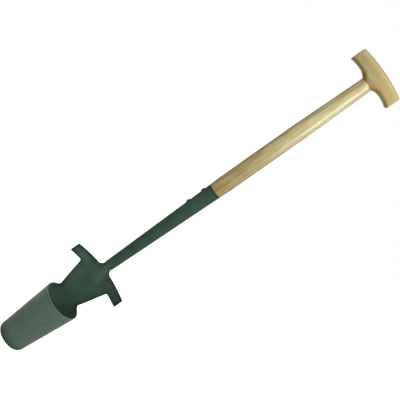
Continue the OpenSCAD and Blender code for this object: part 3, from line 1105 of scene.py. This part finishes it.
# Grip
# A T grip shaped from one block of ash with its grain from end to end. The top is arched, the underside is
# hollowed for the fingers and flat where it sits on the shaft, and the long edges are rounded.
grip_low, grip_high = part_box("grip")
grip_half = grip_high.x / MM
grip_half_t = (grip_high.y - grip_low.y) / 2 / MM
grip_top_z = grip_high.z / MM
grip_arch = 5
grip_hollow = 6.5
grip_hollow_x = 35
grip_tip_drop = 4
grip_round = 7
grip_boss_h = 9
grip_boss_least = 1.5
grip_end_round = 2.5
corner_points, flat_steps = 11, 6
grip_end_points, grip_steps = 8, 120

# The grip's tones, streaks and depths are given as the shaft's are. It is darker below and on the left,
# both painted shade.
grip_tones = "#b8a35e", "#a18a47", "#796029"
grip_streak_w = 14
grip_depths = 0.08, 0.12, 0.16, 0.15
grip_shades = (
    ((0, 0, 1), grip_z + 2, 0.14, grip_top_z - 6, -0.02),
    ((1, 0, 0), -grip_half, 0.18, grip_half, -0.1),
)


def rounded_oblong(half_t, low, high, low_round, low_rise, high_round):
    """Closed outline across the grip at each station: two quarter ellipses below, low_round wide and low_rise
    high, and two quarter circles above, with points along the flats between them."""
    quarter = np.linspace(0, math.pi / 2, corner_points)
    flat = np.linspace(0, 1, flat_steps + 1)[1:-1]
    corners = [
        (half_t - low_round, low + low_rise, low_round, low_rise, -math.pi / 2),
        (half_t - high_round, high - high_round, high_round, high_round, 0),
        (high_round - half_t, high - high_round, high_round, high_round, math.pi / 2),
        (low_round - half_t, low + low_rise, low_round, low_rise, math.pi),
    ]
    arcs = [np.stack([
        y[:, None] + wide[:, None] * np.cos(start + quarter),
        z[:, None] + tall[:, None] * np.sin(start + quarter),
    ], axis=-1) for y, z, wide, tall, start in corners]
    flats = [arc[:, -1:] + (following[:, :1] - arc[:, -1:]) * flat[:, None]
             for arc, following in zip(arcs, arcs[1:] + arcs[:1])]
    return np.concatenate([part for pair in zip(arcs, flats) for part in pair], axis=1)


def grip_surface():
    """Grip as a row of rounded oblongs from end to end. The top is an arch and the underside two hollows, all
    parabolas, beside a round boss as wide as the shaft. The ends draw in by a quarter circle and close in
    rings on their middles."""
    end_turn = np.linspace(0, math.pi / 2, grip_end_points)
    end_x = grip_half - grip_end_round + grip_end_round * np.sin(end_turn)
    x = np.concatenate([-end_x[::-1], np.linspace(-end_x[0], end_x[0], grip_steps + 1)[1:-1], end_x])
    near_end = np.maximum(np.abs(x) - (grip_half - grip_end_round), 0)
    inset = grip_end_round - np.sqrt(np.maximum(grip_end_round**2 - near_end**2, 0))
    off = np.maximum(np.abs(x), shaft_top_r) - grip_hollow_x
    rise_to_hollow = grip_hollow * (off / (grip_hollow_x - shaft_top_r)) ** 2
    fall_to_end = grip_tip_drop * (off / (grip_half - grip_hollow_x)) ** 2
    low = grip_z + grip_hollow - np.where(off < 0, rise_to_hollow, fall_to_end)
    high = grip_top_z - grip_arch * (x / grip_half) ** 2

    past_boss = ease((np.abs(x) - shaft_top_r) / (grip_hollow_x - shaft_top_r))
    boss = np.sqrt(np.maximum(shaft_top_r**2 - x**2, grip_boss_least**2))
    bottom_half = boss + (grip_half_t - grip_round - boss) * past_boss
    low_rise = grip_boss_h + (grip_round - grip_boss_h) * past_boss
    outline = rounded_oblong(
        grip_half_t - inset,
        low + inset,
        high - inset,
        grip_half_t - bottom_half - inset / 2,
        low_rise - inset / 2,
        np.full(x.size, grip_round) - inset / 2,
    )
    middle = outline.mean(axis=1, keepdims=True)
    end_rings = np.array([0.9, 0.6, 0.3, 0.0])[:, None, None]
    first = middle[:1] + end_rings[::-1] * (outline[:1] - middle[:1])
    last = middle[-1:] + end_rings * (outline[-1:] - middle[-1:])
    sections = np.concatenate([first, outline, last])
    stations = np.concatenate([np.full(end_rings.size, x[0]), x, np.full(end_rings.size, x[-1])])[:, None]
    points = np.stack([
        stations + 0 * sections[..., 0],
        shaft_y + sections[..., 0],
        sections[..., 1],
    ], axis=-1)
    return points.reshape(-1, 3), grid_faces(*points.shape[:2], True)


grip_points, grip_faces = grip_surface()
grip_ash = ash("grip_ash", "X", grip_tones, grip_streak_w, grip_depths, grip_shades)
grip = put_mesh("grip_shaped", grip_points, grip_faces, grip_ash)
merge_points(grip, pole_gap)
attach(grip, "root")
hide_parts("grip")

# Grip pin
# A plain steel pin driven from behind through the grip and the shaft's tenon, filed flush with the wood. Its
# solid has the right shape and gets only a material.
pin_scratch_w, pin_scratch_l = 0.6, 12
pin_steel = "#6f7274"
pin_steel_light = "#a5a8a9"
pin_roughness = 0.3, 0.5


def filed_steel():
    """Bare mild steel dressed with a file: fine parallel scratches across the pin's end."""
    material, tree = start_material("filed_steel")
    place = add_node(tree, "ShaderNodeTexCoord").outputs["Object"]
    stretch = add_node(tree, "ShaderNodeMapping", {
        "Vector": place,
        "Scale": [per(pin_scratch_l), per(pin_scratch_w), per(pin_scratch_w)],
    }).outputs[0]
    scratch = add_node(tree, "ShaderNodeTexNoise", {"Vector": stretch, "Scale": 1.0}).outputs[0]
    tone = add_node(tree, "ShaderNodeMix", {
        "Factor": scratch,
        "A": linear(pin_steel),
        "B": linear(pin_steel_light),
    }, data_type="RGBA").outputs["Result"]
    roughness = add_node(tree, "ShaderNodeMapRange", {
        "Value": scratch,
        "To Min": pin_roughness[0],
        "To Max": pin_roughness[1],
    }).outputs[0]
    surface = add_node(tree, "ShaderNodeBsdfPrincipled", {
        "Base Color": tone,
        "Metallic": 1.0,
        "Roughness": roughness,
    })
    add_node(tree, "ShaderNodeOutputMaterial", {"Surface": surface.outputs[0]})
    return material


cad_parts["grip_pin"].data.materials.clear()
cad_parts["grip_pin"].data.materials.append(filed_steel())
